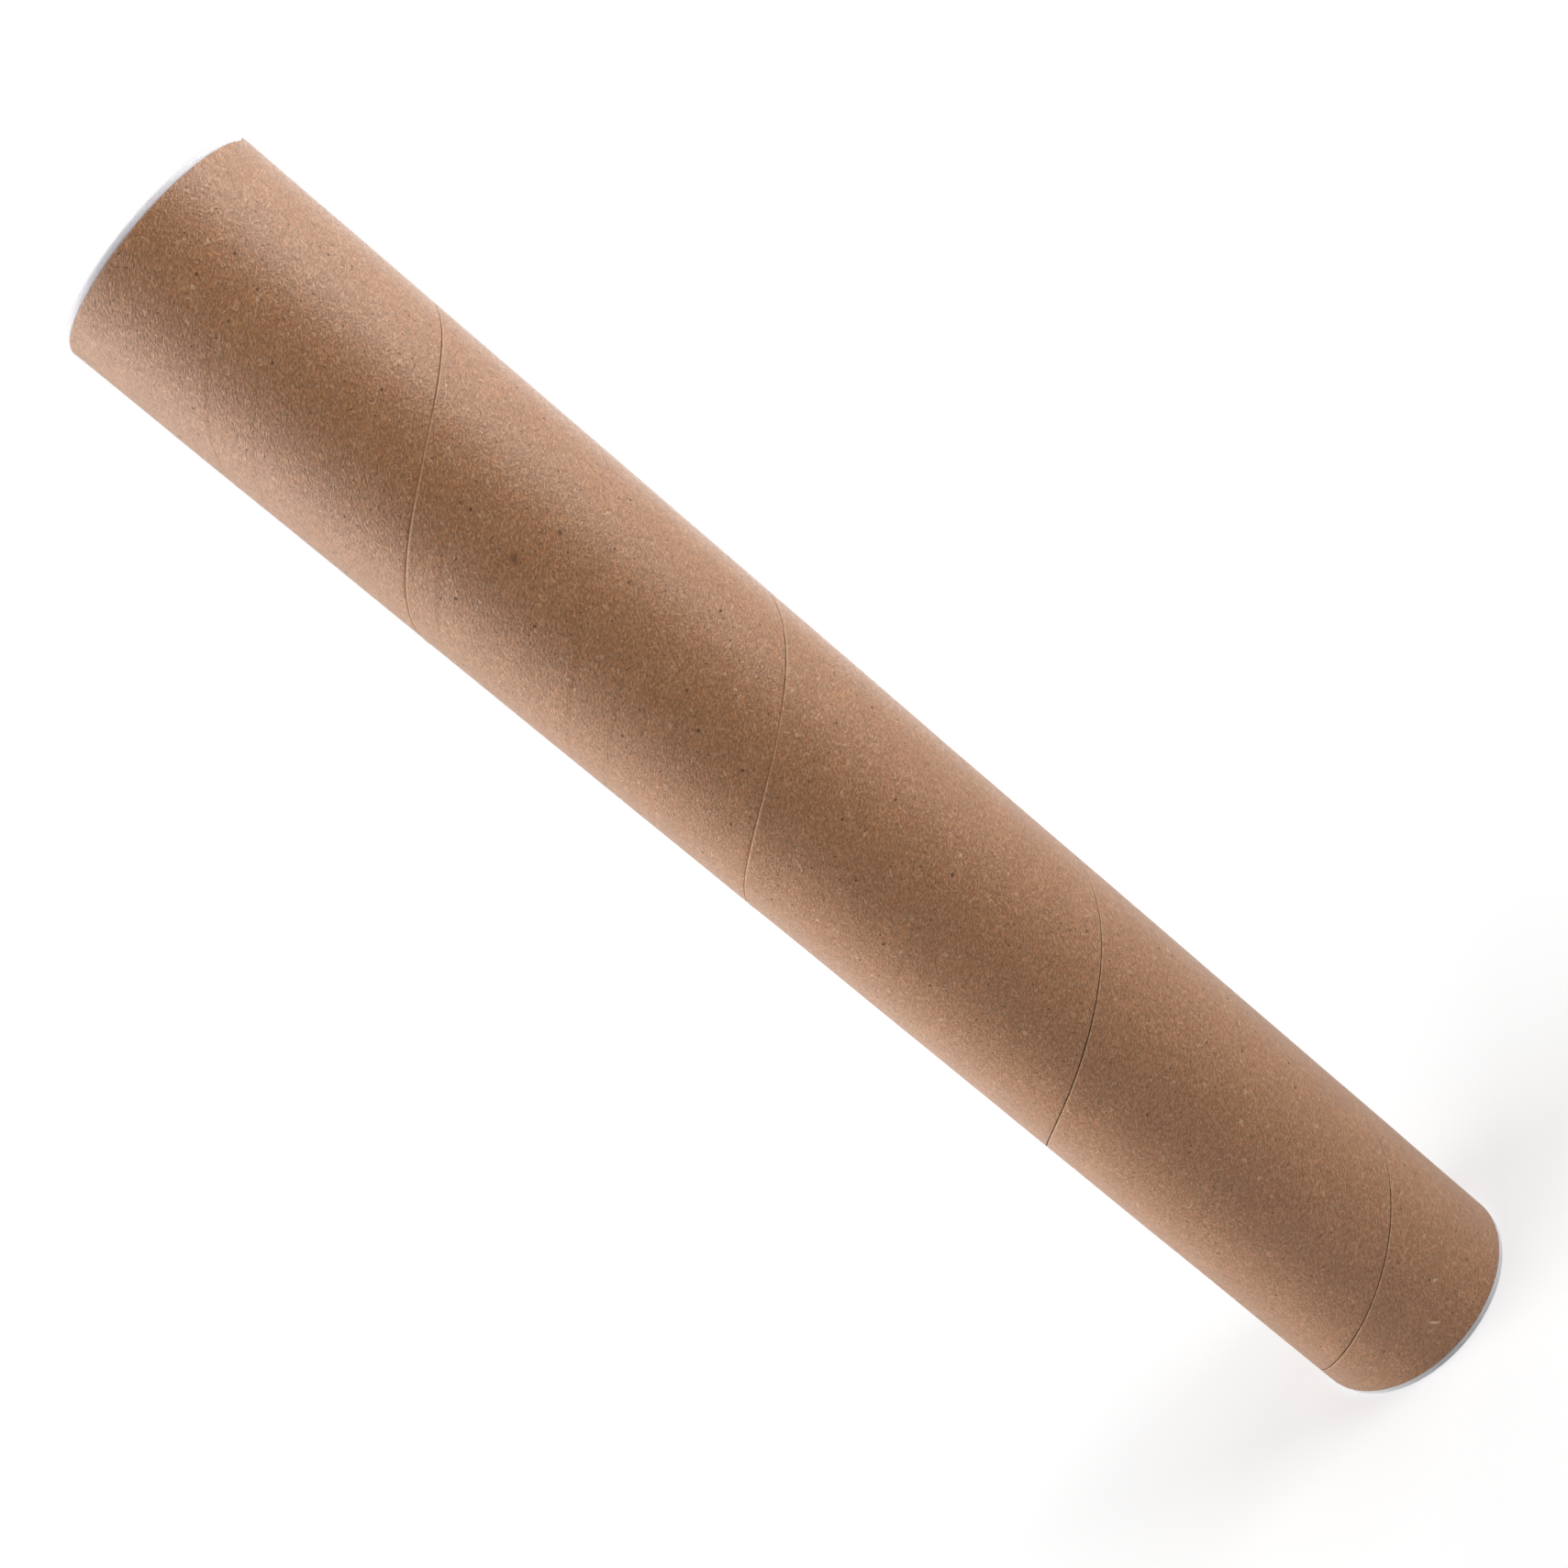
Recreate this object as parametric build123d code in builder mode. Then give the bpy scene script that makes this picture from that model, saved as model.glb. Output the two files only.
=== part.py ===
from build123d import *
import os

# Mailing tube: a spiral-wound paperboard tube closed by a push-in plastic cap at each end.
# Millimetres. The tube stands on its lower cap: the origin is the centre of that cap's outer face,
# and +Z runs up the axis of the tube.

# Paperboard tube
tube_length = 355.6
tube_outer_diameter = 54.0
tube_wall = 2.0
tube_edge_break = 0.2

# Spiral butt seam of the outer ply, a right-hand helix
seam_pitch = 88.0
seam_width = 0.4
seam_depth = 0.3
seam_front_height = 25.7
seam_front_angle = -90

# Flange of a cap, a little smaller than the tube
flange_inset = 0.4
flange_thickness = 1.4
flange_edge_break = 0.45

# Hollow plug of a cap, drafted so that it draws out of its mould
plug_depth = 15.0
plug_wall = 1.2
plug_floor = 1.2
plug_draft = 0.25
plug_mouth_break = 0.3
plug_corner_break = 0.8
plug_lead_in_length = 2.2
plug_lead_in_depth = 0.5
cap_clearance = 0.05

# Friction ribs along the plug
rib_count = 12
rib_height = 0.35
rib_width = 1.6
rib_flank_angle = 60

# Moulding gate in the floor of the cup
gate_diameter = 5.0
gate_depth = 0.35

# Reach of a cut past the faces that it opens
cut_overrun = 2.0

# Places and radii that follow from the sizes above
tube_radius = tube_outer_diameter / 2
bore_radius = tube_radius - tube_wall
flange_radius = tube_radius - flange_inset
board_bottom = flange_thickness
board_top = board_bottom + tube_length
overall_height = board_top + flange_thickness
full_turn = 360

# Wound board wall with its spiral seam
with BuildPart() as tube_body:
    with BuildSketch(Plane.XY.offset(board_bottom)):
        Circle(tube_radius)
        Circle(bore_radius, mode=Mode.SUBTRACT)
    extrude(amount=tube_length)
    outer_end_edges = tube_body.edges().filter_by(GeomType.CIRCLE).group_by(SortBy.RADIUS)[-1]
    chamfer(outer_end_edges, length=tube_edge_break)

    # The seam enters below the lower end and leaves above the upper one
    seam_start_angle = seam_front_angle - full_turn * (seam_front_height + cut_overrun) / seam_pitch
    with BuildLine() as seam_path:
        seam_helix = Helix(
            pitch=seam_pitch,
            height=tube_length + 2 * cut_overrun,
            radius=tube_radius,
            center=(0, 0, board_bottom - cut_overrun),
            mode=Mode.PRIVATE,
        )
        add(seam_helix.rotate(Axis.Z, seam_start_angle))
    seam_start = seam_path.line @ 0
    seam_outwards = Vector(seam_start.X, seam_start.Y, 0)
    with BuildSketch(Plane(origin=seam_start, x_dir=seam_outwards, z_dir=seam_path.line % 0)) as seam_section:
        Rectangle(2 * seam_depth, seam_width)
    sweep(seam_section.sketch, path=seam_path.line, is_frenet=True, mode=Mode.SUBTRACT)

# Outline of the lower cap: radii from the axis, heights from the standing face
rib_crest_radius = bore_radius - cap_clearance
plug_radius = rib_crest_radius - rib_height
nose_radius = plug_radius - plug_draft
nose_height = flange_thickness + plug_depth
cup_floor_height = nose_height - plug_floor
cup_mouth_radius = plug_radius - plug_wall
cup_floor_radius = nose_radius - plug_wall

with BuildPart() as lower_cap:
    with BuildSketch(Plane.XZ):
        with BuildLine():
            Polyline(
                (0, nose_height),
                (nose_radius, nose_height),
                (plug_radius, flange_thickness),
                (flange_radius, flange_thickness),
                (flange_radius, 0),
                (cup_mouth_radius, 0),
                (cup_floor_radius, cup_floor_height),
                (0, cup_floor_height),
                close=True,
            )
        cap_corners = make_face().vertices()
        rim_corner = cap_corners.sort_by_distance((flange_radius, 0))[0]
        mouth_corner = cap_corners.sort_by_distance((cup_mouth_radius, 0))[0]
        cup_corner = cap_corners.sort_by_distance((cup_floor_radius, cup_floor_height))[0]
        chamfer(rim_corner, length=flange_edge_break)
        chamfer(mouth_corner, length=plug_mouth_break)
        chamfer(cup_corner, length=plug_corner_break)
    revolve(axis=Axis.Z)

    # Ribs from the flange to the nose, rooted in the middle of the plug's wall
    rib_reach = rib_height + plug_wall / 2
    with BuildSketch(Plane.XY.offset(flange_thickness)):
        with PolarLocations(rib_crest_radius, rib_count):
            Trapezoid(rib_width, rib_reach, rib_flank_angle, rotation=-90, align=(Align.CENTER, Align.MAX))
    extrude(amount=plug_depth)

    # Lead-in cone over the nose and the ends of the ribs
    with BuildSketch(Plane.XZ):
        with BuildLine():
            Polyline(
                (nose_radius - plug_lead_in_depth, nose_height),
                (bore_radius, nose_height),
                (bore_radius, nose_height - plug_lead_in_length),
                close=True,
            )
        make_face()
    revolve(axis=Axis.Z, mode=Mode.SUBTRACT)

    with BuildSketch(Plane.XY.offset(cup_floor_height)):
        Circle(gate_diameter / 2)
    extrude(amount=gate_depth, mode=Mode.SUBTRACT)

# The upper cap is the same moulding, turned over into the other end
with BuildPart() as upper_cap:
    mirror(lower_cap.part, about=Plane.XY.offset(overall_height / 2))

tube_body.part.label = "tube_body"
lower_cap.part.label = "lower_cap"
upper_cap.part.label = "upper_cap"

os.makedirs("parts", exist_ok=True)
export_step(tube_body.part, "parts/tube_body.step")
export_step(lower_cap.part, "parts/lower_cap.step")
export_step(upper_cap.part, "parts/upper_cap.step")
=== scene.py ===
import math

import bmesh
import bpy
from bpy.props import FloatProperty, FloatVectorProperty, IntProperty, PointerProperty
from mathutils import Matrix, Quaternion, Vector, noise


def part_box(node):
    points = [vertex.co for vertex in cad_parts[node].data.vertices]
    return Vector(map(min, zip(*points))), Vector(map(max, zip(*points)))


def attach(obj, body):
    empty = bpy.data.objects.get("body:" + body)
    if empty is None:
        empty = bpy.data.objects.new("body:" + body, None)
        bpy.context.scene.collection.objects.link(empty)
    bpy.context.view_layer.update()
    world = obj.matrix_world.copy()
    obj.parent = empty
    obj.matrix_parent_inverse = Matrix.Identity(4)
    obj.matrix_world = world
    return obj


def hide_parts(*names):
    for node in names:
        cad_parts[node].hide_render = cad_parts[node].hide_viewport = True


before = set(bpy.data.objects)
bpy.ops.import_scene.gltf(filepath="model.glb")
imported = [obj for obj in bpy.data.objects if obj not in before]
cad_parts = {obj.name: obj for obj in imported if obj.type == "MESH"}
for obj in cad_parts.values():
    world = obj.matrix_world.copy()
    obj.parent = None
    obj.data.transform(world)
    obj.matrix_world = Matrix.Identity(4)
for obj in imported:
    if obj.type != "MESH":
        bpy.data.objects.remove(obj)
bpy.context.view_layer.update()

bl_info = {
    "name": "Mailing Tube",
    "version": (1, 0, 0),
    "blender": (4, 5, 0),
    "location": "3D View > Sidebar > Mailing Tube",
    "description": "Winds the kraft board, moulds both caps and sets a plain studio round them",
    "category": "Object",
}

MM = 0.001
FULL_TURN = 2 * math.pi
AXIS = Vector((0, 0, 1))
SHARP_ANGLE = math.radians(32)

# Vertices this near are merged, and places this near lie on the same ring or cut
MERGE_REACH = 0.004 * MM
SAME_PLACE = 0.01 * MM

# The map of the plies, and the places of their finishes in the board's list after the outer ply
PLY_LAY = "ply_lay"
GAP, LINER, CORE = 1, 2, 3

# The seam's upper turns close over this run of height. Towards +X they open again, between two shares of the
# radius, down to the least share that stays shut
CLOSING_RUN = 15 * MM
OPENS_FROM, OPENS_TO, LEAST_SHUT = 0.2, 0.6, 0.25

# Runs of a ply's section longer than this are cut into shorter ones
LONGEST_RUN = 4 * MM
RUN_CUTS = 6

# Seams of the plies below: place across the outer ply, share of the ghost depth
GHOST_SEAMS = ((36.1 * MM, 0.5), (46.8 * MM, 1.0), (79.7 * MM, 0.6))

# Reach of the seam's wander to both sides of it
SEAM_REACH = 3 * MM

# Shares of the edge round at which the wall is cut for it
ROUND_CUTS = (0.12, 0.4, 1.0)

# Rings of faces on a cut end, and the strip that they leave beside the bore
END_RINGS = 5
END_STRIP = 0.35 * MM

# Torn lip at the upper rim: middle, half-width, height, reach into the wall
TORN_ANGLE = math.radians(-9)
TORN_HALF_WIDTH = 1.9 * MM
TORN_HEIGHT = 1.15 * MM
TORN_REACH = 0.75 * MM

# Steps of the plug between two ribs
RIB_GAP_STEPS = 14

# Lamps: name, place, width and height, the setting for its power, whether gloss shows it
LAMPS = (
    ("key_softbox", (0.539, -0.263, 0.46), (0.3, 0.7), "key_power", True),
    ("fill_softbox", (0.615, 0.076, 0.50), (0.5, 0.6), "fill_power", True),
    ("side_softbox", (-0.62, 0.0, 0.55), (0.8, 0.8), "side_power", True),
    ("back_softbox", (0.24, 0.66, 0.25), (0.6, 0.6), "back_power", True),
    ("top_softbox", (-0.268, -0.297, 0.72), (0.1, 0.2), "top_power", True),
    ("crown_softbox", (0.0, 0.2, 0.95), (0.4, 0.4), "crown_power", True),
    ("foot_lamp", (-0.29, 0.06, 0.04), (0.15, 0.12), "foot_power", False),
)
LAMP_AIM = Vector((0, 0, 0.2))
SENSOR_WIDTH = 36.0
FLOOR_REACH = 6.0

# Marks of handling on the outer ply: angle, height, half-length and half-width, lean, cover, colour
HANDLING_MARKS = (
    (math.radians(-94.6), 0.2667, (1.35 * MM, 1.15 * MM), 0.3, 0.62, "bark"),
    (math.radians(-74.1), 0.2633, (1.0 * MM, 0.55 * MM), 0.2, 0.8, "bark"),
    (math.radians(-82.1), 0.0254, (0.65 * MM, 0.5 * MM), 0.0, 0.7, "bark"),
    (math.radians(-104.1), 0.0924, (0.5 * MM, 0.4 * MM), 0.0, 0.95, "bark"),
    (math.radians(-92.8), 0.0094, (1.7 * MM, 0.45 * MM), -1.34, 1.0, "straw"),
    (math.radians(-77.1), 0.0154, (0.8 * MM, 0.5 * MM), -1.0, 0.7, "straw"),
)

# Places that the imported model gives
board_low, board_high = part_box("tube_body")
cap_low, cap_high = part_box("lower_cap")
top_cap_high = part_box("upper_cap")[1]


class BoardSettings(bpy.types.PropertyGroup):
    """Sizes and colours of the wound board."""

    wall: FloatProperty(
        name="Wall", description="Thickness of the wound wall", default=2.0 * MM, unit="LENGTH"
    )
    seam_pitch: FloatProperty(
        name="Seam pitch", description="Rise of the spiral seam in one turn", default=88.0 * MM, unit="LENGTH"
    )
    seam_front_height: FloatProperty(
        name="Seam height",
        description="Height of the seam above the board's lower end, on the side that faces -Y",
        default=25.7 * MM,
        unit="LENGTH",
    )
    seam_width: FloatProperty(
        name="Seam width",
        description="Gap between the edges of the outer ply",
        default=0.26 * MM,
        unit="LENGTH",
    )
    seam_depth: FloatProperty(
        name="Seam depth", description="Depth of the open seam", default=0.16 * MM, unit="LENGTH"
    )
    seam_lip: FloatProperty(
        name="Seam lip", description="Rise of the ply's edge below the seam", default=0.08 * MM, unit="LENGTH"
    )
    seam_closes: FloatProperty(
        name="Seam closes",
        description="Height from which the seam lies nearly closed",
        default=165.0 * MM,
        unit="LENGTH",
    )
    meander: FloatProperty(
        name="Meander", description="Sideways wander of the seam", default=0.08 * MM, unit="LENGTH"
    )
    ghost_depth: FloatProperty(
        name="Ghost seam depth",
        description="Dip of the outer ply over a seam of the plies below",
        default=0.05 * MM,
        unit="LENGTH",
    )
    waver: FloatProperty(
        name="Waver", description="Unevenness of the wound surface", default=0.05 * MM, unit="LENGTH"
    )
    edge_round: FloatProperty(
        name="Edge round",
        description="Round on the outer edge of a cut end",
        default=0.25 * MM,
        unit="LENGTH",
    )
    fray: FloatProperty(
        name="Fray", description="Roughness of the cut ends", default=0.12 * MM, unit="LENGTH"
    )
    columns: IntProperty(name="Columns", description="Columns of faces in one turn", default=240, min=24)
    kraft: FloatVectorProperty(
        name="Kraft", description="Colour of the outer ply", default=(0.456, 0.202, 0.080), subtype="COLOR"
    )
    liner: FloatVectorProperty(
        name="Liner",
        description="Colour of the ply inside the bore",
        default=(0.37, 0.225, 0.13),
        subtype="COLOR",
    )
    core: FloatVectorProperty(
        name="Core",
        description="Colour of the board's cut edge",
        default=(0.36, 0.215, 0.12),
        subtype="COLOR",
    )
    bark: FloatVectorProperty(
        name="Bark",
        description="Colour of the dark specks and fibres",
        default=(0.105, 0.042, 0.014),
        subtype="COLOR",
    )
    straw: FloatVectorProperty(
        name="Straw", description="Colour of the pale fibres", default=(0.72, 0.47, 0.29), subtype="COLOR"
    )


class CapSettings(bpy.types.PropertyGroup):
    """Sizes and colour of the moulded caps."""

    plug_wall: FloatProperty(
        name="Plug wall", description="Thickness of the hollow plug", default=1.2 * MM, unit="LENGTH"
    )
    draft: FloatProperty(
        name="Draft", description="Taper of the plug over its depth", default=0.25 * MM, unit="LENGTH"
    )
    clearance: FloatProperty(
        name="Clearance", description="Gap between the ribs and the bore", default=0.05 * MM, unit="LENGTH"
    )
    rib_count: IntProperty(name="Ribs", description="Friction ribs round the plug", default=12, min=3)
    rib_height: FloatProperty(
        name="Rib height", description="Rise of a friction rib", default=0.35 * MM, unit="LENGTH"
    )
    rib_foot: FloatProperty(
        name="Rib foot", description="Width of a rib where it meets the plug", default=0.9 * MM, unit="LENGTH"
    )
    rib_crest: FloatProperty(
        name="Rib crest", description="Width of a rib's crest", default=0.5 * MM, unit="LENGTH"
    )
    lead_in_length: FloatProperty(
        name="Lead-in length", description="Length of the cone at the nose", default=2.2 * MM, unit="LENGTH"
    )
    lead_in_depth: FloatProperty(
        name="Lead-in depth", description="Depth of the cone at the nose", default=0.5 * MM, unit="LENGTH"
    )
    gate_radius: FloatProperty(
        name="Gate radius",
        description="Radius of the moulding gate's dimple",
        default=2.5 * MM,
        unit="LENGTH",
    )
    gate_depth: FloatProperty(
        name="Gate depth", description="Depth of the moulding gate's dimple", default=0.35 * MM, unit="LENGTH"
    )
    plastic: FloatVectorProperty(
        name="Plastic",
        description="Colour of the moulded plastic",
        default=(0.84, 0.815, 0.865),
        subtype="COLOR",
    )


class StageSettings(bpy.types.PropertyGroup):
    """Camera, lamps and floor."""

    camera_place: FloatVectorProperty(
        name="Camera",
        description="Where the camera stands",
        default=(0.0, -0.382, 0.2683),
        subtype="TRANSLATION",
    )
    camera_aim: FloatVectorProperty(
        name="Aim",
        description="Where the camera looks",
        default=(-0.0059, 0.9810, -0.1941),
        subtype="DIRECTION",
    )
    camera_roll: FloatProperty(
        name="Roll",
        description="Lean of the camera about its aim",
        default=math.radians(-50.1),
        subtype="ANGLE",
    )
    lens: FloatProperty(name="Lens", description="Focal length on a 36 mm sensor", default=41.75)
    key_power: FloatProperty(
        name="Key", description="Power of the softbox on the +X side", default=3.6, unit="POWER"
    )
    fill_power: FloatProperty(
        name="Fill", description="Power of the softbox behind the key", default=2.0, unit="POWER"
    )
    side_power: FloatProperty(
        name="Side", description="Power of the softbox on the -X side", default=5.8, unit="POWER"
    )
    back_power: FloatProperty(
        name="Back", description="Power of the softbox behind the tube", default=1.8, unit="POWER"
    )
    top_power: FloatProperty(
        name="Top", description="Power of the small lamp above the front", default=0.5, unit="POWER"
    )
    crown_power: FloatProperty(
        name="Crown", description="Power of the softbox overhead", default=0.75, unit="POWER"
    )
    foot_power: FloatProperty(
        name="Foot",
        description="Power of the low lamp beside the foot of the tube",
        default=0.5,
        unit="POWER",
    )
    room_light: FloatProperty(name="Room", description="Light that comes from all round", default=0.01)
    mirrored: FloatProperty(
        name="Mirrored", description="Share of the white behind the tube that gloss shows", default=1.0
    )
    mirrored_front: FloatProperty(
        name="Mirrored front", description="Share of the white before the tube that gloss shows", default=0.06
    )
    floor: FloatVectorProperty(
        name="Floor", description="Colour of the floor", default=(0.47, 0.47, 0.47), subtype="COLOR"
    )


class Nodes:
    """Builds a node tree. A socket takes another node's output or a plain value."""

    def __init__(self, tree):
        self.tree = tree

    def add(self, kind, sockets=None, **settings):
        node = self.tree.nodes.new(kind)
        for name, value in settings.items():
            setattr(node, name, value)
        for name, value in (sockets or {}).items():
            self.plug(node.inputs[name], value)
        return node

    def plug(self, socket, value):
        if isinstance(value, bpy.types.NodeSocket):
            self.tree.links.new(value, socket)
        else:
            socket.default_value = value

    def between(self, value, low, high, start=0.0, end=1.0):
        """Eases from start to end as value goes from low to high."""
        eased = self.add(
            "ShaderNodeMapRange",
            {"Value": value, "From Min": low, "From Max": high, "To Min": start, "To Max": end},
            interpolation_type="SMOOTHSTEP",
        )
        return eased.outputs[0]

    def sum(self, operation, first, second=0.0, third=0.0):
        """One step of arithmetic on up to three values."""
        node = self.add("ShaderNodeMath", operation=operation)
        for socket, value in zip(node.inputs, (first, second, third)):
            self.plug(socket, value)
        return node.outputs[0]

    def white_seen(self, place, low, high, settings):
        """Share of white that a ray meets: all for the camera, some for gloss by its Y, else none."""
        path = self.add("ShaderNodeLightPath").outputs
        behind = self.add("ShaderNodeSeparateXYZ", {"Vector": place}).outputs[1]
        mirrored = self.between(behind, low, high, settings.mirrored_front, settings.mirrored)
        mirrored = self.sum("MULTIPLY", path["Is Glossy Ray"], mirrored)
        seen = self.sum("MAXIMUM", path["Is Camera Ray"], path["Is Transmission Ray"])
        return self.sum("MAXIMUM", seen, mirrored)


class Finish(Nodes):
    """One node material, from its patterns to its shader."""

    def __init__(self, name):
        self.material = bpy.data.materials.new(name)
        self.material.use_nodes = True
        super().__init__(self.material.node_tree)
        self.shader = self.tree.nodes["Principled BSDF"]

    def coat(self, sockets):
        """Sets sockets of the shader, and gives the finished material."""
        for name, value in sockets.items():
            self.plug(self.shader.inputs[name], value)
        return self.material

    def laid(self, lay, size, turn=0.0, shift=(0, 0, 0)):
        """The coordinates of a pattern whose cells have this size in metres, turned on the sheet."""
        mapped = self.add(
            "ShaderNodeMapping",
            {"Vector": lay, "Location": shift, "Rotation": (0, 0, turn), "Scale": size},
            vector_type="TEXTURE",
        )
        return mapped.outputs[0]

    def grain(self, lay, size, turn=0.0, shift=(0, 0, 0), detail=2.0, flat=True):
        """A cloudy pattern from 0 to 1."""
        texture = self.add(
            "ShaderNodeTexNoise",
            {"Vector": self.laid(lay, size, turn, shift), "Scale": 1.0, "Detail": detail, "Roughness": 0.55},
            noise_dimensions="2D" if flat else "3D",
        )
        return texture.outputs[0]

    def tint(self, share, under, over):
        """Colour over on colour under, by share."""
        node = self.add("ShaderNodeMix", data_type="RGBA", blend_type="MIX")
        self.plug(node.inputs[0], share)
        self.plug(node.inputs[6], under)
        self.plug(node.inputs[7], over)
        return node.outputs[2]

    def hairs(self, lay, size, turn, shift, width, gate):
        """Short curved fibres: pieces of the contour lines of a cloudy pattern."""
        field = self.grain(lay, size, turn, shift, detail=1.0)
        off_line = self.sum("ABSOLUTE", self.sum("SUBTRACT", field, 0.5))
        line = self.between(off_line, 0.0, width, 1.0, 0.0)
        patch = self.grain(lay, (0.0016, 0.0016, 1), 0.0, (shift[1], shift[0], 0), detail=0.0)
        return self.sum("MULTIPLY", line, self.between(patch, gate, gate + 0.05))

    def specks(self, lay, cell, radius, share, shift=(0, 0, 0), stretch=1.0):
        """Specks of different sizes in some cells of the sheet, drawn out along it by stretch."""
        spread = self.laid(lay, (cell * stretch, cell, 1), shift=shift)
        cells = self.add(
            "ShaderNodeTexVoronoi",
            {"Vector": spread, "Scale": 1.0, "Randomness": 1.0},
            voronoi_dimensions="2D",
            feature="F1",
        )
        dice = self.add("ShaderNodeSeparateColor", {"Color": cells.outputs["Color"]})
        reach = self.sum("MULTIPLY_ADD", dice.outputs[1], 0.6 * radius / cell, 0.4 * radius / cell)
        inside = self.between(self.sum("SUBTRACT", cells.outputs["Distance"], reach), -0.03, 0.015, 1.0, 0.0)
        return self.sum("MULTIPLY", inside, self.sum("LESS_THAN", dice.outputs[0], share))

    def spot(self, lay, place, size, turn, ragged):
        """One spot of half-length and half-width size at a place of the sheet, with a ragged edge."""
        local = self.laid(lay, (*size, 1), turn, (*place, 0))
        off = self.add("ShaderNodeVectorMath", {0: local}, operation="LENGTH").outputs["Value"]
        return self.between(self.sum("MULTIPLY_ADD", ragged, 0.8, off), 0.7, 1.5, 1.0, 0.0)


def rgba(colour):
    return (*colour, 1.0)


def shaded(colour, share):
    """A lighter or darker tone of a colour."""
    return tuple(channel * share for channel in colour) + (1.0,)


def toned(colour, shares):
    """A colour with each of its channels changed by a share."""
    return tuple(channel * share for channel, share in zip(colour, shares)) + (1.0,)


def kraft_finish(name, colour, settings, fuzz, marks=()):
    """Bare kraft paper: cloudy sheet, short fibres along the ply, pits, bark specks and a soft tooth."""
    finish = Finish(name)
    lay = finish.add("ShaderNodeUVMap", uv_map=PLY_LAY).outputs[0]

    cloud = finish.grain(lay, (0.012, 0.007, 1), detail=2.0)
    blush = finish.grain(lay, (0.0048, 0.0036, 1), 0.3, (0.4, 0.2, 0), detail=1.0)
    flock = finish.grain(lay, (0.0017, 0.0011, 1), 0.15, detail=2.0)
    tooth = finish.grain(lay, (0.00060, 0.00050, 1), detail=1.0)
    fibre = finish.grain(lay, (0.0010, 0.00027, 1), 0.05, (0.2, 0.6, 0), detail=1.0)
    strand = finish.grain(lay, (0.0032, 0.00032, 1), -0.04, detail=1.0)
    cross = finish.grain(lay, (0.0020, 0.00028, 1), 0.6, (0.3, 0.1, 0), detail=1.0)
    counter = finish.grain(lay, (0.0020, 0.00028, 1), -0.7, (0.1, 0.7, 0), detail=1.0)

    paper = finish.tint(finish.between(cloud, 0.3, 0.7), shaded(colour, 0.88), shaded(colour, 1.14))
    paper = finish.tint(finish.between(blush, 0.35, 0.7, 0.0, 0.9), paper, toned(colour, (0.90, 0.80, 0.72)))
    paper = finish.tint(finish.between(flock, 0.3, 0.7, 0.0, 0.9), paper, shaded(colour, 0.66))
    paper = finish.tint(finish.between(tooth, 0.30, 0.60, 0.50, 0.0), paper, shaded(colour, 0.60))
    paper = finish.tint(finish.between(tooth, 0.44, 0.74, 0.0, 0.45), paper, shaded(colour, 1.36))
    paper = finish.tint(finish.between(fibre, 0.52, 0.74, 0.0, 0.5), paper, shaded(colour, 0.60))
    paper = finish.tint(finish.between(fibre, 0.26, 0.46, 0.36, 0.0), paper, rgba(settings.straw))
    paper = finish.tint(finish.between(strand, 0.54, 0.76, 0.0, 0.30), paper, shaded(colour, 0.62))
    paper = finish.tint(finish.between(cross, 0.62, 0.8, 0.0, 0.40), paper, rgba(settings.straw))
    paper = finish.tint(finish.between(counter, 0.62, 0.8, 0.0, 0.40), paper, shaded(colour, 0.62))

    pale = finish.hairs(lay, (0.0042, 0.0030, 1), 0.2, (0.02, 0.05, 0), 0.018, 0.58)
    dark = finish.hairs(lay, (0.0046, 0.0028, 1), -0.1, (0.07, 0.03, 0), 0.014, 0.62)
    slubs = finish.specks(lay, 0.0021, 0.00020, 0.4, (0.031, 0.003, 0), stretch=2.2)
    pits = finish.specks(lay, 0.0015, 0.00024, 0.5, (0.005, 0.023, 0), stretch=1.2)
    large = finish.specks(lay, 0.0052, 0.00037, 0.22, stretch=1.2)
    small = finish.specks(lay, 0.0022, 0.00021, 0.36, (0.011, 0.017, 0))
    paper = finish.tint(finish.sum("MULTIPLY", pits, 0.42), paper, shaded(colour, 0.42))
    paper = finish.tint(finish.sum("MULTIPLY", slubs, 0.35), paper, rgba(settings.straw))
    paper = finish.tint(finish.sum("MULTIPLY", pale, 0.5), paper, rgba(settings.straw))
    paper = finish.tint(finish.sum("MULTIPLY", dark, 0.5), paper, rgba(settings.bark))
    paper = finish.tint(finish.sum("MULTIPLY", large, 0.95), paper, rgba(settings.bark))
    paper = finish.tint(finish.sum("MULTIPLY", small, 0.9), paper, rgba(settings.bark))

    # Torn paper along the raised edge below the seam is paler, and the pale strip is also a painted highlight
    # where that edge catches the light
    across = finish.add("ShaderNodeSeparateXYZ", {"Vector": lay}).outputs[1]
    ply_width = settings.seam_pitch * math.cos(seam_lead(settings))
    torn = finish.between(across, ply_width - 0.6 * MM, ply_width - 0.3 * MM, 0.0, 0.4)
    torn = finish.sum("MULTIPLY", torn, finish.between(flock, 0.35, 0.6, 0.3, 1.0))
    paper = finish.tint(torn, paper, rgba(settings.straw))

    height = finish.sum("MULTIPLY_ADD", tooth, 0.7, finish.sum("MULTIPLY", flock, 0.45))
    height = finish.sum("MULTIPLY_ADD", fibre, -0.6, height)
    height = finish.sum("MULTIPLY_ADD", pits, -0.25, height)
    height = finish.sum("MULTIPLY_ADD", pale, 0.35, height)
    for angle, level, size, turn, cover, tone in marks:
        place = on_ply(angle, level, ply_turn(angle, level, settings), settings)
        mark = finish.spot(lay, place, size, turn, flock)
        paper = finish.tint(finish.sum("MULTIPLY", mark, cover), paper, rgba(getattr(settings, tone)))
    bump = finish.add("ShaderNodeBump", {"Height": height, "Strength": 1.0, "Distance": 0.00014})

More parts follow.
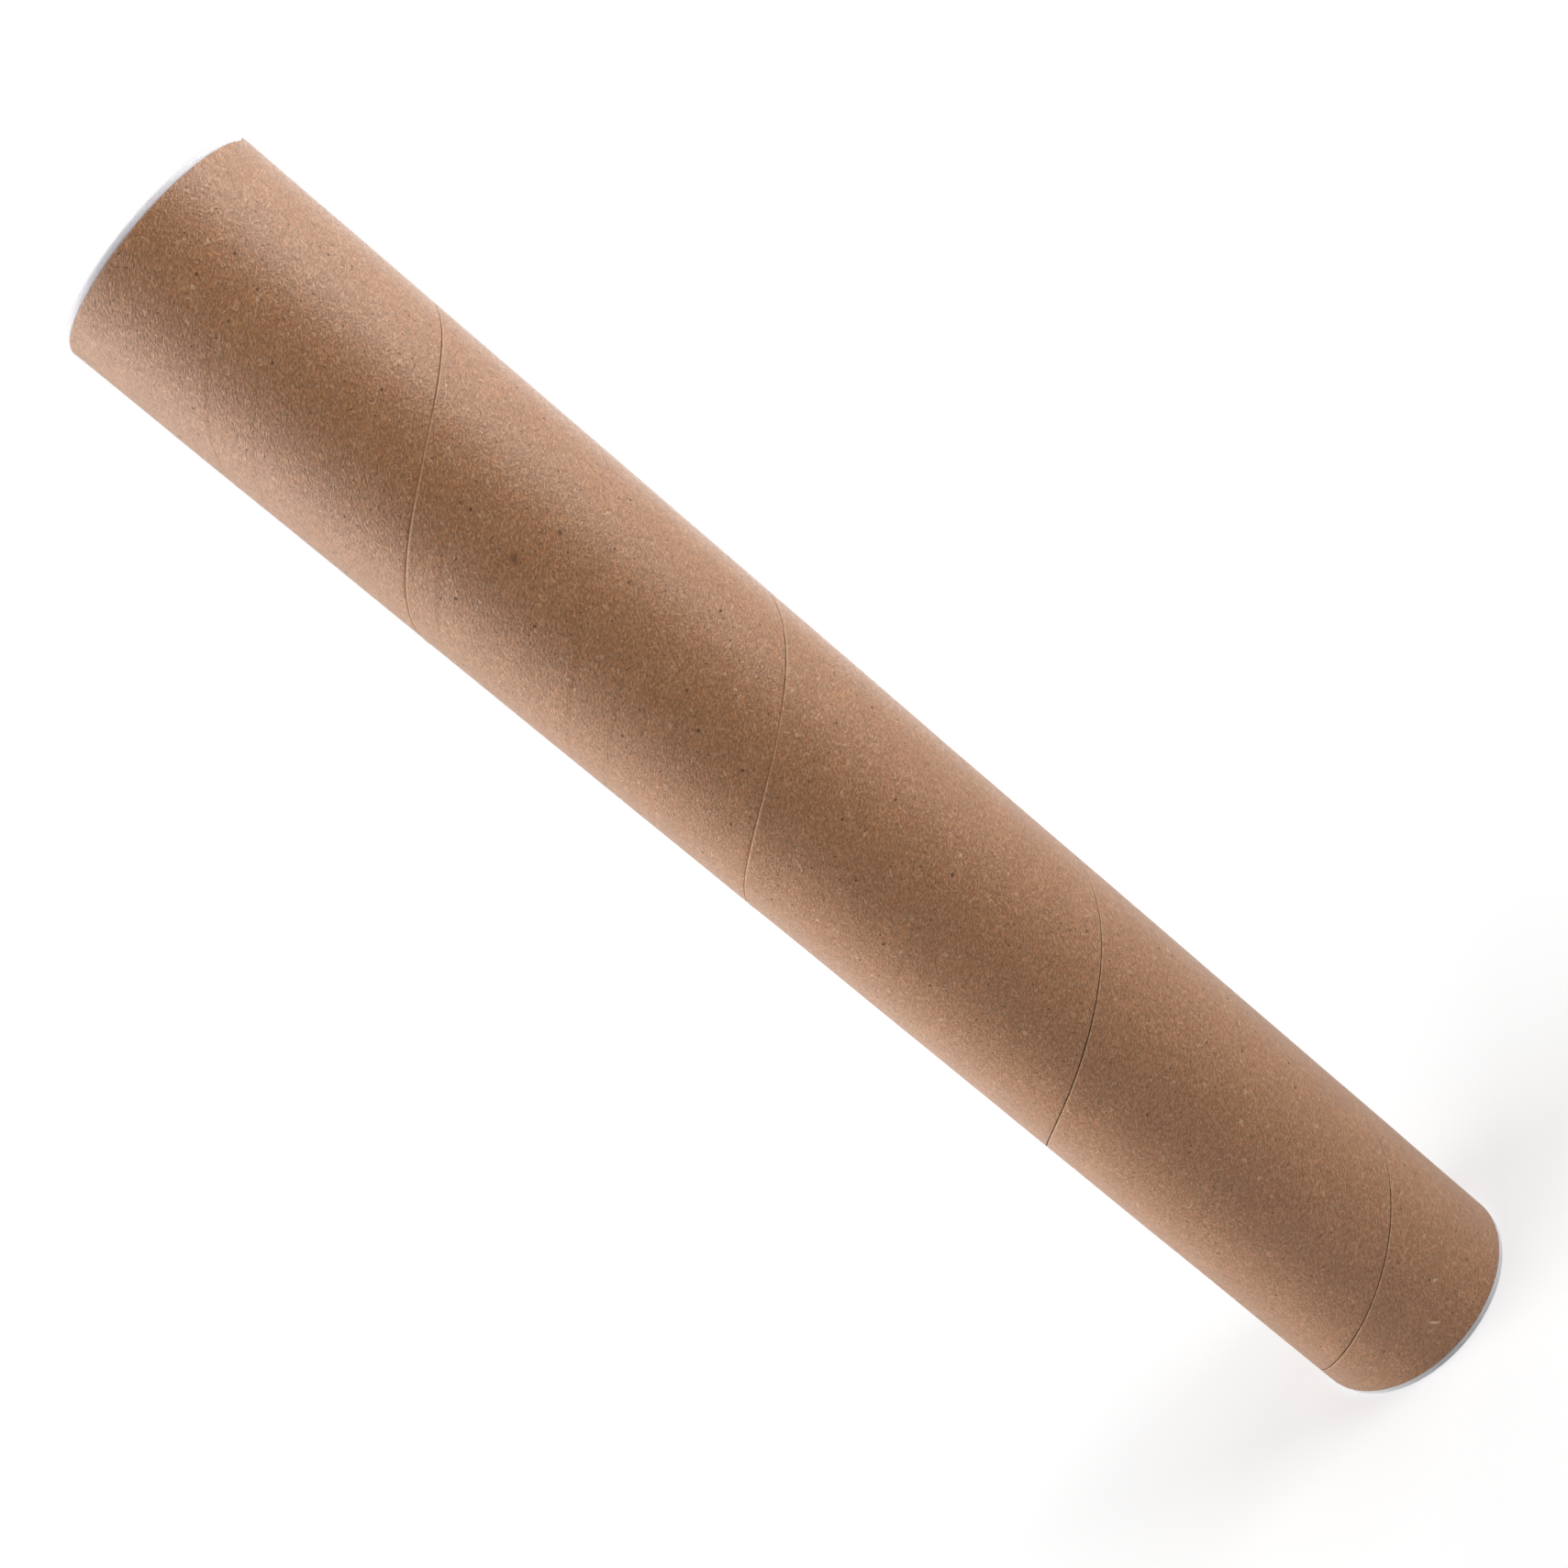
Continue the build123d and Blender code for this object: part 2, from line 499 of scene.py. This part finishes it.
    rough = finish.between(flock, 0.2, 0.8, 0.40, 0.52)
    rough = finish.sum("MULTIPLY_ADD", finish.sum("MAXIMUM", large, small), 0.4, rough)
    return finish.coat({
        "Base Color": paper,
        "Roughness": rough,
        "Normal": bump.outputs[0],
        "Specular IOR Level": 0.6,
        "Sheen Weight": fuzz,
        "Sheen Roughness": 0.48,
        "Sheen Tint": (1.0, 0.94, 0.90, 1.0),
    })


def gap_finish(settings):
    """The ply below, with painted shade down in the open seam, and near the paper's own colour where the seam
    is closed.
    """
    finish = Finish("seam_gap")
    place = finish.add("ShaderNodeTexCoord").outputs["Object"]
    split = finish.add("ShaderNodeSeparateXYZ", {"Vector": place}).outputs
    middle, half_run = settings.seam_closes, CLOSING_RUN / 2
    shut = finish.between(split[2], middle - half_run, middle + half_run)
    # Towards +X the seam opens again, and the painted shade in it comes back there
    aside = finish.between(split[0], OPENS_FROM * board_high.x, OPENS_TO * board_high.x, 1.0, LEAST_SHUT)
    shut = finish.sum("MULTIPLY", shut, aside)
    fluff = finish.grain(place, (0.0012, 0.0012, 0.0012), detail=3.0, flat=False)
    kraft = settings.kraft
    # Painted shade: the open seam is coloured far darker than the ply below it, deepest where it is open
    # towards +X
    glue = finish.tint(finish.between(fluff, 0.35, 0.65), shaded(kraft, 0.12), shaded(kraft, 0.26))
    glue = finish.tint(shut, glue, shaded(kraft, 0.72))
    bump = finish.add("ShaderNodeBump", {"Height": fluff, "Strength": 0.6, "Distance": 0.0001})
    return finish.coat({
        "Base Color": glue, "Normal": bump.outputs[0], "Roughness": 0.85, "Specular IOR Level": 0.2
    })


def core_finish(settings):
    """The sawn end of the board: plies with thin dark glue lines between them, and torn fibres."""
    finish = Finish("cut_edge")
    place = finish.add("ShaderNodeTexCoord").outputs["Object"]
    level = finish.add("ShaderNodeVectorMath", {0: place, 1: (1, 1, 0)}, operation="MULTIPLY").outputs[0]
    fluff = finish.grain(place, (0.0007, 0.0007, 0.0007), detail=3.0, flat=False)
    radius = finish.add("ShaderNodeVectorMath", {0: level}, operation="LENGTH").outputs["Value"]
    wavy = finish.sum("MULTIPLY_ADD", fluff, 0.00018, radius)
    ply = finish.sum("FRACT", finish.sum("DIVIDE", wavy, settings.wall / 6))
    glue = finish.between(finish.sum("ABSOLUTE", finish.sum("SUBTRACT", ply, 0.5)), 0.36, 0.48)
    core = settings.core
    paper = finish.tint(finish.between(fluff, 0.3, 0.7), shaded(core, 0.8), shaded(core, 1.25))
    paper = finish.tint(finish.sum("MULTIPLY", glue, 0.55), paper, shaded(core, 0.45))
    height = finish.sum("MULTIPLY_ADD", glue, -0.5, fluff)
    bump = finish.add("ShaderNodeBump", {"Height": height, "Strength": 0.7, "Distance": 0.00018})
    return finish.coat({
        "Base Color": paper, "Normal": bump.outputs[0], "Roughness": 0.9, "Specular IOR Level": 0.2
    })


def plastic_finish(settings):
    """Milky moulded polyethylene with a fine satin skin and light rubbing."""
    finish = Finish("cap_plastic_satin")
    place = finish.add("ShaderNodeTexCoord").outputs["Object"]
    milk = finish.grain(place, (0.009, 0.009, 0.009), detail=2.0, flat=False)
    skin = finish.grain(place, (0.00045, 0.00045, 0.00045), detail=2.0, flat=False)
    rub = finish.grain(place, (0.0006, 0.006, 0.006), 0.6, detail=3.0, flat=False)
    rubbed = finish.between(rub, 0.56, 0.70)
    tone = finish.tint(
        finish.between(milk, 0.3, 0.7), shaded(settings.plastic, 0.965), shaded(settings.plastic, 1.02)
    )
    tone = finish.tint(finish.sum("MULTIPLY", rubbed, 0.12), tone, shaded(settings.plastic, 0.82))
    height = finish.sum("MULTIPLY_ADD", rubbed, -0.4, skin)
    bump = finish.add("ShaderNodeBump", {"Height": height, "Strength": 0.25, "Distance": 0.00006})
    return finish.coat({
        "Base Color": tone,
        "Roughness": finish.sum("MULTIPLY_ADD", rubbed, 0.14, 0.48),
        "Normal": bump.outputs[0],
        "Specular IOR Level": 0.35,
        "Subsurface Weight": 0.6,
        "Subsurface Radius": (1.0, 0.9, 1.0),
        "Subsurface Scale": 0.0025,
    })


def floor_finish(settings):
    """A pale floor that runs out into white and keeps the shadow at the foot of the tube."""
    finish = Finish("studio_floor")
    finish.tree.nodes.remove(finish.shader)
    place = finish.add("ShaderNodeTexCoord").outputs["Object"]
    away = finish.add("ShaderNodeVectorMath", {0: place}, operation="LENGTH").outputs["Value"]
    seen = finish.white_seen(place, 0.0, 0.25, settings)
    lift = finish.sum("MULTIPLY", seen, finish.between(away, 0.05, 0.8, 0.48, 1.0))
    glow = finish.add("ShaderNodeEmission", {"Color": (1, 1, 1, 1), "Strength": lift})
    matt = finish.add("ShaderNodeBsdfDiffuse", {"Color": rgba(settings.floor)})
    both = finish.add("ShaderNodeAddShader")
    finish.plug(both.inputs[0], glow.outputs[0])
    finish.plug(both.inputs[1], matt.outputs[0])
    finish.plug(finish.tree.nodes["Material Output"].inputs["Surface"], both.outputs[0])
    return finish.material


def seam_lead(settings):
    """Angle at which the plies climb."""
    return math.atan2(settings.seam_pitch, FULL_TURN * board_high.x)


def seam_half_gap(settings):
    """Half of the seam's width, measured up the tube."""
    return settings.seam_width / math.cos(seam_lead(settings)) / 2


def seam_height(angle, settings):
    """Height of the seam's centre at an angle about the axis, on the turn that crosses the front."""
    turned = (angle + math.pi / 2) / FULL_TURN
    return board_low.z + settings.seam_front_height + settings.seam_pitch * turned


def skin_radius(settings):
    """Radius of the plain outer face, which leaves room for the seam's lip and the waver."""
    return board_high.x - settings.seam_lip - settings.waver


def from_axis(vert):
    return math.hypot(vert.co.x, vert.co.y)


def push_out(vert, shift):
    """Moves a vertex away from the axis."""
    radius = from_axis(vert)
    vert.co.x *= 1 + shift / radius
    vert.co.y *= 1 + shift / radius


def seam_shut(place, settings):
    """How far the seam is closed at a place, from 0 to 1: the upper turns, less on their +X side."""
    level = (place.z - settings.seam_closes) / CLOSING_RUN + 0.5
    aside = 1 - (place.x / board_high.x - OPENS_FROM) / (OPENS_TO - OPENS_FROM)
    return min(1.0, max(0.0, level)) * min(1.0, max(LEAST_SHUT, aside))


def on_ply(angle, height, turn, settings):
    """Place of a point of the wall on its ply's own map, in metres along and across the sheet."""
    lead = seam_lead(settings)
    rise = height - seam_height(angle, settings) - turn * settings.seam_pitch
    along = (angle + FULL_TURN * turn) * board_high.x
    return along / math.cos(lead) + rise * math.sin(lead), rise * math.cos(lead)


def ply_turn(angle, height, settings):
    """The turn of the ply that covers a point of the wall."""
    return math.floor((height - seam_height(angle, settings)) / settings.seam_pitch)


def draw_ply(mesh, points):
    """One ply's section as a line of vertices (height, radius), with its long runs divided."""
    corners = [mesh.verts.new((radius, 0, height)) for height, radius in points]
    runs = [mesh.edges.new(pair) for pair in zip(corners, corners[1:])]
    long_runs = [run for run in runs if run.calc_length() > LONGEST_RUN]
    bmesh.ops.subdivide_edges(mesh, edges=long_runs, cuts=RUN_CUTS)


def wind_ply(mesh, points, settings, columns):
    """Winds a ply's section up the tube: a rising spin makes one turn, then copies, cut off at both ends."""
    pitch = settings.seam_pitch
    draw_ply(mesh, points)
    start = -math.pi
    first_height = seam_height(start, settings)
    bmesh.ops.rotate(mesh, verts=mesh.verts, cent=(0, 0, 0), matrix=Matrix.Rotation(start, 3, "Z"))
    bmesh.ops.translate(mesh, verts=mesh.verts, vec=(0, 0, first_height))
    bmesh.ops.spin(
        mesh,
        geom=mesh.verts[:] + mesh.edges[:],
        cent=(0, 0, 0),
        axis=AXIS,
        dvec=(0, 0, pitch / columns),
        angle=FULL_TURN,
        steps=columns,
    )
    turn = mesh.verts[:] + mesh.edges[:] + mesh.faces[:]
    below = math.ceil((first_height + pitch - board_low.z) / pitch)
    above = math.ceil((board_high.z - first_height) / pitch)
    for count in range(-below, above):
        if count:
            copy = bmesh.ops.duplicate(mesh, geom=turn)["geom"]
            moved = [part for part in copy if isinstance(part, bmesh.types.BMVert)]
            bmesh.ops.translate(mesh, verts=moved, vec=(0, 0, count * pitch))
    bmesh.ops.remove_doubles(mesh, verts=mesh.verts, dist=MERGE_REACH)
    cut_across(mesh, board_low.z, clear_inner=True)
    cut_across(mesh, board_high.z, clear_outer=True)


def cut_across(mesh, height, **clear):
    """Cuts the whole mesh level at a height."""
    bmesh.ops.bisect_plane(
        mesh,
        geom=mesh.verts[:] + mesh.edges[:] + mesh.faces[:],
        dist=0.0005 * MM,
        plane_co=(0, 0, height),
        plane_no=AXIS,
        **clear,
    )


def lay_map(mesh, settings):
    """Lays the sheet's own map on each ply, in metres along and across it, and marks the seam's faces."""
    layer = mesh.loops.layers.uv.new(PLY_LAY)
    pitch = settings.seam_pitch
    half_gap = seam_half_gap(settings)
    for face in mesh.faces:
        centre = face.calc_center_median()
        middle = math.atan2(centre.y, centre.x)
        turn = ply_turn(middle, centre.z, settings)
        rise = centre.z - seam_height(middle, settings) - turn * pitch
        if min(rise, pitch - rise) < half_gap:
            face.material_index = GAP
        for corner in face.loops:
            angle = math.atan2(corner.vert.co.y, corner.vert.co.x)
            angle += FULL_TURN * round((middle - angle) / FULL_TURN)
            corner[layer].uv = on_ply(angle, corner.vert.co.z, turn, settings)


def piece_from(mesh, name, body, node, finishes):
    """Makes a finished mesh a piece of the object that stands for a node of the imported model."""
    data = bpy.data.meshes.new(name)
    mesh.to_mesh(data)
    mesh.free()
    data.shade_smooth()
    data.set_sharp_from_angle(angle=SHARP_ANGLE)
    for finish in finishes:
        data.materials.append(finish)
    piece = bpy.data.objects.new(name, data)
    bpy.context.scene.collection.objects.link(piece)
    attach(piece, body)
    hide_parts(node)


class MAILTUBE_OT_wind_board(bpy.types.Operator):
    """Wind the paperboard tube with its open spiral seam"""

    bl_idname = "mailtube.wind_board"
    bl_label = "Wind Board"

    def execute(self, context):
        settings = context.scene.mailtube_board
        outside = self.outer_ply(settings)
        inside = self.liner(settings)
        joined = bpy.data.meshes.new("liner_turns")
        inside.to_mesh(joined)
        inside.free()
        outside.from_mesh(joined)
        bpy.data.meshes.remove(joined)
        self.close_end(outside, board_low.z, settings)
        self.close_end(outside, board_high.z, settings)
        if any(edge.is_boundary for edge in outside.edges):
            raise RuntimeError("the board has an open edge")
        outside.normal_update()
        bmesh.ops.recalc_face_normals(outside, faces=outside.faces)
        self.roughen_ends(outside, settings)
        piece_from(
            outside,
            "wound_board",
            "tube",
            "tube_body",
            [
                kraft_finish("kraft_outer_ply", settings.kraft, settings, 0.45, HANDLING_MARKS),
                gap_finish(settings),
                kraft_finish("liner_ply", settings.liner, settings, 0.2),
                core_finish(settings),
            ],
        )
        return {"FINISHED"}

    def outer_ply(self, settings):
        """The outer face, from the middle of one seam to the middle of the next."""
        mesh = bmesh.new()
        pitch = settings.seam_pitch
        half_gap = seam_half_gap(settings)
        skin = skin_radius(settings)
        lip = skin + settings.seam_lip
        floor = skin - settings.seam_depth
        above = [
            (0.0, floor),
            (half_gap * 0.92, floor),
            (half_gap, skin - 0.03 * MM),
            (half_gap + 0.12 * MM, skin),
            (half_gap + 1.0 * MM, skin),
        ]
        below = [
            (0.0, floor),
            (half_gap * 0.92, floor),
            (half_gap, skin - 0.06 * MM),
            (half_gap + 0.30 * MM, lip),
            (half_gap + 0.8 * MM, skin + settings.seam_lip * 0.7),
            (half_gap + 2.5 * MM, skin),
        ]
        points = list(above)
        for place, share in GHOST_SEAMS:
            dip = skin - settings.ghost_depth * share
            points += [
                (place - 1.1 * MM, skin),
                (place - 0.5 * MM, dip),
                (place + 0.25 * MM, dip),
                (place + 0.55 * MM, skin + settings.ghost_depth * share * 0.5),
                (place + 1.4 * MM, skin),
            ]
        points += [(pitch - depth, radius) for depth, radius in reversed(below)]
        wind_ply(mesh, points, settings, settings.columns)
        for height in (board_low.z, board_high.z):
            inwards = 1 if height == board_low.z else -1
            for share in ROUND_CUTS:
                cut_across(mesh, height + inwards * share * settings.edge_round)
        self.shape_seam(mesh, settings)
        self.waver_wall(mesh, settings)
        lay_map(mesh, settings)
        return mesh

    def shape_seam(self, mesh, settings):
        """Lets the seam wander a little, and closes it towards the upper end."""
        pitch = settings.seam_pitch
        half_gap = seam_half_gap(settings)
        skin = skin_radius(settings)
        for vert in mesh.verts:
            rise = (vert.co.z - seam_height(math.atan2(vert.co.y, vert.co.x), settings)) % pitch
            off = min(rise, pitch - rise)
            if off > SEAM_REACH:
                continue
            radius = from_axis(vert)
            if off < half_gap * 0.97:
                fill = settings.seam_depth * 0.75 * seam_shut(vert.co, settings)
                push_out(vert, skin - settings.seam_depth + fill - radius)
            elif rise > pitch / 2 and radius > skin:
                push_out(vert, -0.85 * (radius - skin) * (1 - seam_shut(vert.co, settings)))
            nearest = min(vert.co.z - board_low.z, board_high.z - vert.co.z)
            ease = (1 - off / SEAM_REACH) * min(1.0, max(0.0, nearest / SEAM_REACH))
            vert.co.z += settings.meander * ease * noise.noise(vert.co / (7 * MM))

    def liner(self, settings):
        """The face of the bore, with the liner's own shallow seam."""
        mesh = bmesh.new()
        pitch = settings.seam_pitch
        half_gap = seam_half_gap(settings)
        bore = board_high.x - settings.wall
        floor = bore + 0.15 * MM
        points = [
            (0.0, floor),
            (half_gap * 0.92, floor),
            (half_gap, bore + 0.02 * MM),
            (half_gap + 0.3 * MM, bore),
            (47.0 * MM, bore),
            (47.6 * MM, bore + 0.05 * MM),
            (48.4 * MM, bore),
            (pitch - half_gap - 0.3 * MM, bore),
            (pitch - half_gap, bore + 0.02 * MM),
            (pitch - half_gap * 0.92, floor),
            (pitch, floor),
        ]
        wind_ply(mesh, points, settings, settings.columns // 2)
        for face in mesh.faces:
            face.material_index = LINER
        lay_map(mesh, settings)
        return mesh

    def waver_wall(self, mesh, settings):
        """Gives the wound wall its slight unevenness, and rounds its two outer edges."""
        for vert in mesh.verts:
            slow = noise.noise(vert.co / (26 * MM))
            quick = noise.noise(vert.co / (9 * MM) + Vector((5, 0, 0)))
            shift = settings.waver * max(-1.0, min(1.0, slow + 0.35 * quick))
            nearest = min(vert.co.z - board_low.z, board_high.z - vert.co.z)
            if nearest < settings.edge_round:
                share = 1 - max(nearest, 0.0) / settings.edge_round
                shift -= settings.edge_round * 0.8 * (1 - math.sqrt(1 - share * share))
            push_out(vert, shift)

    def close_end(self, mesh, height, settings):
        """Closes a cut end: rings step in from the outer face to a circle, then a fill up to the bore."""
        rim = [edge for edge in mesh.edges if edge.is_boundary and self.level(edge, height)]
        middle = board_high.x - settings.wall / 2
        outer = [edge for edge in rim if min(map(from_axis, edge.verts)) > middle]
        bore = [edge for edge in rim if edge not in outer]
        inner = board_high.x - settings.wall + END_STRIP
        made = []
        for steps_left in range(END_RINGS, 0, -1):
            grown = bmesh.ops.extrude_edge_only(mesh, edges=outer)["geom"]
            made += [part for part in grown if isinstance(part, bmesh.types.BMFace)]
            outer = [part for part in grown if isinstance(part, bmesh.types.BMEdge) and part.is_boundary]
            for vert in (part for part in grown if isinstance(part, bmesh.types.BMVert)):
                push_out(vert, (inner - from_axis(vert)) / steps_left)
        filled = bmesh.ops.triangle_fill(mesh, edges=outer + bore, use_beauty=True, normal=AXIS)["geom"]
        made += [part for part in filled if isinstance(part, bmesh.types.BMFace)]
        for face in made:
            face.material_index = CORE

    def level(self, edge, height):
        return all(abs(vert.co.z - height) < SAME_PLACE for vert in edge.verts)

    def roughen_ends(self, mesh, settings):
        """Roughens the sawn ends, always into the board, and lifts the torn lip at the upper rim."""
        for vert in mesh.verts:
            radius = from_axis(vert)
            for height, inwards in ((board_low.z, 1.0), (board_high.z, -0.4)):
                if abs(vert.co.z - height) < 0.002 * MM and radius > board_high.x - settings.wall * 0.9:
                    tear = noise.noise(vert.co / (0.9 * MM)) + 0.6 * noise.noise(vert.co / (0.35 * MM))
                    vert.co.z += inwards * settings.fray * (0.6 + 0.5 * max(-1.0, min(1.0, tear)))
            if board_high.z - vert.co.z < settings.edge_round and radius > board_high.x - TORN_REACH:
                angle = math.atan2(vert.co.y, vert.co.x)
                near = abs(angle - TORN_ANGLE) * board_high.x / TORN_HALF_WIDTH
                if near < 1:
                    ragged = 0.75 + 0.4 * noise.noise(vert.co / (0.5 * MM))
                    vert.co.z += TORN_HEIGHT * ragged * (1 - near * near)


class MAILTUBE_OT_mould_caps(bpy.types.Operator):
    """Mould the two push-in caps with their friction ribs"""

    bl_idname = "mailtube.mould_caps"
    bl_label = "Mould Caps"

    def execute(self, context):
        settings = context.scene.mailtube_caps
        bore = board_high.x - context.scene.mailtube_board.wall
        finish = plastic_finish(settings)
        lower = self.mould(settings, bore)
        upper = lower.copy()
        half_turn = Matrix.Rotation(math.pi, 3, "X")
        middle = (0, 0, (cap_low.z + top_cap_high.z) / 2)
        bmesh.ops.rotate(upper, verts=upper.verts, cent=middle, matrix=half_turn)
        piece_from(lower, "moulded_lower_cap", "lower_cap", "lower_cap", [finish])
        piece_from(upper, "moulded_upper_cap", "upper_cap", "upper_cap", [finish])
        return {"FINISHED"}

    def mould(self, settings, bore):
        """The lower cap: one rib's share of the section is spun, and repeated round the axis."""
        mesh = bmesh.new()
        flange = cap_high.x
        seat = board_low.z
        nose = cap_high.z
        plug = bore - settings.clearance - settings.rib_height
        tip = plug - settings.draft
        cone = (settings.lead_in_depth + bore - tip) / settings.lead_in_length
        lead_in = settings.lead_in_depth / (cone - settings.draft / (nose - seat))
        rib_end = (settings.lead_in_depth + settings.draft + settings.rib_height) / cone
        mouth = plug - settings.plug_wall
        cup = tip - settings.plug_wall
        cup_floor = nose - settings.plug_wall
        outline = [
            (0, nose),
            (tip - settings.lead_in_depth, nose),
            (tip - settings.lead_in_depth + cone * lead_in, nose - lead_in),
            (plug, seat),
            (flange, seat),
            (flange, 0),
            (mouth, 0),
            (cup, cup_floor),
            (settings.gate_radius, cup_floor),
            (settings.gate_radius, cup_floor + settings.gate_depth),
            (0, cup_floor + settings.gate_depth),
        ]
        foot = settings.rib_foot / plug
        crest = settings.rib_crest / plug
        share = FULL_TURN / settings.rib_count
        corners = [mesh.verts.new((radius, 0, height)) for radius, height in outline]
        line = corners + [mesh.edges.new(pair) for pair in zip(corners, corners[1:])]
        bmesh.ops.rotate(mesh, verts=corners, cent=(0, 0, 0), matrix=Matrix.Rotation(-foot / 2, 3, "Z"))
        flank = (foot - crest) / 2
        for angle, steps in ((flank, 1), (crest, 1), (flank, 1), (share - foot, RIB_GAP_STEPS)):
            spun = bmesh.ops.spin(
                mesh, geom=line, cent=(0, 0, 0), axis=AXIS, dvec=(0, 0, 0), angle=angle, steps=steps
            )
            line = spun["geom_last"]
        for vert in mesh.verts:
            angle = math.atan2(vert.co.y, vert.co.x)
            radius = from_axis(vert)
            if abs(angle) > crest * 0.6 or not tip < radius < plug + SAME_PLACE:
                continue
            if vert.co.z > seat - SAME_PLACE:
                push_out(vert, bore - settings.clearance - radius)
                if vert.co.z > (seat + nose) / 2:
                    vert.co.z = nose - rib_end
        sector = mesh.verts[:] + mesh.edges[:] + mesh.faces[:]
        for count in range(1, settings.rib_count):
            copy = bmesh.ops.duplicate(mesh, geom=sector)["geom"]
            moved = [part for part in copy if isinstance(part, bmesh.types.BMVert)]
            turned = Matrix.Rotation(count * share, 3, "Z")
            bmesh.ops.rotate(mesh, verts=moved, cent=(0, 0, 0), matrix=turned)
        bmesh.ops.remove_doubles(mesh, verts=mesh.verts, dist=MERGE_REACH)
        bmesh.ops.recalc_face_normals(mesh, faces=mesh.faces)
        rounds = (
            (flange, 0, 0.4 * MM, 5),
            (flange, seat, 0.2 * MM, 3),
            (mouth, 0, 0.35 * MM, 4),
            (cup, cup_floor, 0.9 * MM, 5),
            (tip - settings.lead_in_depth, nose, 0.3 * MM, 3),
            (settings.gate_radius, cup_floor, 0.12 * MM, 3),
            (settings.gate_radius, cup_floor + settings.gate_depth, 0.12 * MM, 3),
        )
        for ring in rounds:
            self.ease_ring(mesh, *ring)
        return mesh

    def ease_ring(self, mesh, radius, height, size, segments):
        """Rounds the ring of edges at a radius and height."""
        ring = [edge for edge in mesh.edges if all(self.on_ring(vert, radius, height) for vert in edge.verts)]
        if not ring:
            raise RuntimeError(f"the cap has no edge at radius {radius:.5f}, height {height:.5f}")
        bmesh.ops.bevel(
            mesh, geom=ring, offset=size, segments=segments, profile=0.5, affect="EDGES", material=-1
        )

    def on_ring(self, vert, radius, height):
        return abs(from_axis(vert) - radius) < SAME_PLACE and abs(vert.co.z - height) < SAME_PLACE


class MAILTUBE_OT_set_stage(bpy.types.Operator):
    """Set the floor, the lamps and the camera"""

    bl_idname = "mailtube.set_stage"
    bl_label = "Set Stage"

    def execute(self, context):
        settings = context.scene.mailtube_stage
        self.lay_floor(settings)
        self.light_room(context.scene, settings)
        for name, place, size, power, mirrored in LAMPS:
            self.hang_lamp(name, place, size, getattr(settings, power), mirrored)
        self.stand_camera(context.scene, settings)
        context.scene.view_settings.view_transform = "Standard"
        return {"FINISHED"}

    def lay_floor(self, settings):
        mesh = bmesh.new()
        bmesh.ops.create_grid(mesh, x_segments=4, y_segments=4, size=FLOOR_REACH)
        data = bpy.data.meshes.new("studio_floor")
        mesh.to_mesh(data)
        mesh.free()
        data.materials.append(floor_finish(settings))
        floor = bpy.data.objects.new("studio_floor", data)
        bpy.context.scene.collection.objects.link(floor)

    def light_room(self, scene, settings):
        world = bpy.data.worlds.new("studio_room")
        world.use_nodes = True
        scene.world = world
        room = Nodes(world.node_tree)
        way = room.add("ShaderNodeTexCoord").outputs["Generated"]
        seen = room.white_seen(way, -0.1, 0.5, settings)
        strength = room.add("ShaderNodeMapRange", {"Value": seen, "To Min": settings.room_light})
        sky = world.node_tree.nodes["Background"]
        room.plug(sky.inputs["Color"], (1, 1, 1, 1))
        room.plug(sky.inputs["Strength"], strength.outputs[0])

    def hang_lamp(self, name, place, size, power, mirrored):
        """A soft lamp that faces the middle of the tube, and that gloss shows only if mirrored."""
        data = bpy.data.lights.new(name, "AREA")
        data.shape = "RECTANGLE"
        data.size, data.size_y = size
        data.energy = power
        lamp = bpy.data.objects.new(name, data)
        lamp.location = place
        lamp.rotation_euler = (LAMP_AIM - Vector(place)).to_track_quat("-Z", "Y").to_euler()
        lamp.visible_camera = False
        lamp.visible_glossy = mirrored
        bpy.context.scene.collection.objects.link(lamp)

    def stand_camera(self, scene, settings):
        data = bpy.data.cameras.new("photo_camera")
        data.lens = settings.lens
        data.sensor_width = SENSOR_WIDTH
        camera = bpy.data.objects.new("photo_camera", data)
        camera.location = settings.camera_place
        level = Vector(settings.camera_aim).to_track_quat("-Z", "Y")
        camera.rotation_mode = "QUATERNION"
        camera.rotation_quaternion = level @ Quaternion((0, 0, 1), settings.camera_roll)
        scene.collection.objects.link(camera)
        scene.camera = camera


class MAILTUBE_PT_sidebar(bpy.types.Panel):
    """Steps and settings of the mailing tube"""

    bl_idname = "MAILTUBE_PT_sidebar"
    bl_label = "Mailing Tube"
    bl_space_type = "VIEW_3D"
    bl_region_type = "UI"
    bl_category = "Mailing Tube"

    def draw(self, context):
        steps = (
            (MAILTUBE_OT_wind_board, context.scene.mailtube_board),
            (MAILTUBE_OT_mould_caps, context.scene.mailtube_caps),
            (MAILTUBE_OT_set_stage, context.scene.mailtube_stage),
        )
        for step, settings in steps:
            box = self.layout.box()
            box.operator(step.bl_idname)
            for name in settings.__annotations__:
                box.prop(settings, name)


CLASSES = (
    BoardSettings,
    CapSettings,
    StageSettings,
    MAILTUBE_OT_wind_board,
    MAILTUBE_OT_mould_caps,
    MAILTUBE_OT_set_stage,
    MAILTUBE_PT_sidebar,
)


def register():
    for item in CLASSES:
        bpy.utils.register_class(item)
    bpy.types.Scene.mailtube_board = PointerProperty(type=BoardSettings)
    bpy.types.Scene.mailtube_caps = PointerProperty(type=CapSettings)
    bpy.types.Scene.mailtube_stage = PointerProperty(type=StageSettings)


def unregister():
    del bpy.types.Scene.mailtube_stage
    del bpy.types.Scene.mailtube_caps
    del bpy.types.Scene.mailtube_board
    for item in reversed(CLASSES):
        bpy.utils.unregister_class(item)


def main():
    register()
    bpy.ops.mailtube.wind_board()
    bpy.ops.mailtube.mould_caps()
    bpy.ops.mailtube.set_stage()


if __name__ == "__main__":
    main()
